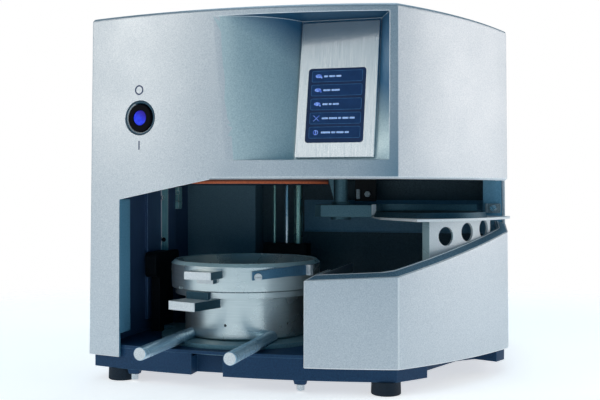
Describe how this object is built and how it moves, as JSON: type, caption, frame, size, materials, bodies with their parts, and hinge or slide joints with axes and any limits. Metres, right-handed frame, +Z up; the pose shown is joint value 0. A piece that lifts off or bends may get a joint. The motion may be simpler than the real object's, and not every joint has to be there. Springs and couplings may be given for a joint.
{
  "type": "dental pressure former",
  "caption": "Bench pressure former for dental splints: curved cover over an open work bay, lifting pot with clamp ring, swing-out heater arm, recessed touch screen.",
  "frame": {"origin": "middle of the bounding box at table height", "axes": "+Z up, -Y towards the user, +X to the user's right"},
  "size_m": [0.403, 0.4304, 0.3599],
  "materials": {
    "silver_paint": "satin",
    "navy_paint": "satin",
    "black_sheet": "matte",
    "brushed_steel": "brushed",
    "screen_glass": "gloss",
    "light_plastic": "satin",
    "black_plastic": "satin",
    "blue_lens": "gloss",
    "rubber": "matte",
    "aluminium": "machined",
    "chrome": "polished",
    "orange_silicone": "matte",
    "heater_ceramic": "matte"
  },
  "bodies": {
    "housing": {"upper_housing": "silver_paint", "block_cover": "silver_paint", "block_liner": "black_sheet", "display_plate": "brushed_steel", "touch_screen": "screen_glass", "plate_spacers": "black_sheet", "switch_bezel": "light_plastic", "switch_block": "black_plastic", "base_tray": "navy_paint", "base_deck": "navy_paint", "front_left_foot": "rubber", "front_right_foot": "rubber", "rear_left_foot": "rubber", "rear_right_foot": "rubber", "leveller_bosses": "navy_paint", "leveller_pins": "chrome", "bay_rear_wall": "black_sheet", "bay_left_wall": "navy_paint", "bay_side_panel": "navy_paint", "column_liner": "navy_paint", "bay_ceiling": "black_sheet", "pressure_chamber": "aluminium", "chamber_gasket": "orange_silicone", "chamber_yoke": "black_sheet", "chamber_frame": "black_sheet", "guide_columns": "chrome", "lift_cylinder": "aluminium", "side_rail": "aluminium", "lift_sensor": "black_plastic", "pivot_post": "chrome", "post_bearing": "aluminium", "home_sensor": "black_sheet", "stop_bracket": "brushed_steel", "stop_screw": "chrome", "rear_panel": "navy_paint", "mains_inlet": "black_plastic", "air_coupling": "chrome", "vent_fan": "black_plastic", "power_supply": "black_sheet", "air_tank": "aluminium"},
    "lift": {"lift_platform": "aluminium", "bush_block": "black_sheet", "lift_rod": "chrome", "side_carriage": "black_sheet"},
    "pot": {"model_pot": "aluminium", "handle_rods": "chrome"},
    "foil_holder": {"foil_ring": "aluminium"},
    "clamp": {"clamp_ring": "aluminium", "lever_screw": "chrome"},
    "lever": {"lock_lever": "chrome"},
    "switch": {"power_button": "black_plastic", "button_lens": "blue_lens"},
    "heater": {"arm_hub": "aluminium", "arm_plate": "brushed_steel", "heater_pan": "brushed_steel", "heater_element": "heater_ceramic", "heater_guard": "chrome", "handle_plate": "brushed_steel"}
  },
  "joints": [
    {"name": "lift_rise", "type": "slide", "parent": "housing", "child": "lift", "axis": [0, 0, 1], "range_m": [0, 0.0767]},
    {"name": "pot_pull", "type": "slide", "parent": "lift", "child": "pot", "axis": [0, -1, 0], "range_m": [0, 0.2]},
    {"name": "ring_lift", "type": "slide", "parent": "pot", "child": "foil_holder", "axis": [0, 0, 1], "range_m": [0, 0.06]},
    {"name": "ring_turn", "type": "hinge", "parent": "foil_holder", "child": "clamp", "pos_m": [-0.0658, -0.0478, 0.1], "axis": [0, 0, 1], "range_deg": [-20, 0]},
    {"name": "lever_lift", "type": "hinge", "parent": "clamp", "child": "lever", "pos_m": [-0.02948, -0.11908, 0.1046], "axis": [0.454, -0.891, 0], "range_deg": [0, 25]},
    {"name": "button_press", "type": "slide", "parent": "housing", "child": "switch", "axis": [0.1482, 0.9889, -0.0105], "range_m": [0, 0.0025], "stiffness_N_per_m": 400, "springref_m": -0.0005},
    {"name": "heater_swing", "type": "hinge", "parent": "housing", "child": "heater", "pos_m": [0.0125, 0.0582, 0.165], "axis": [0, 0, 1], "range_deg": [-93.4, 0]}
  ]
}
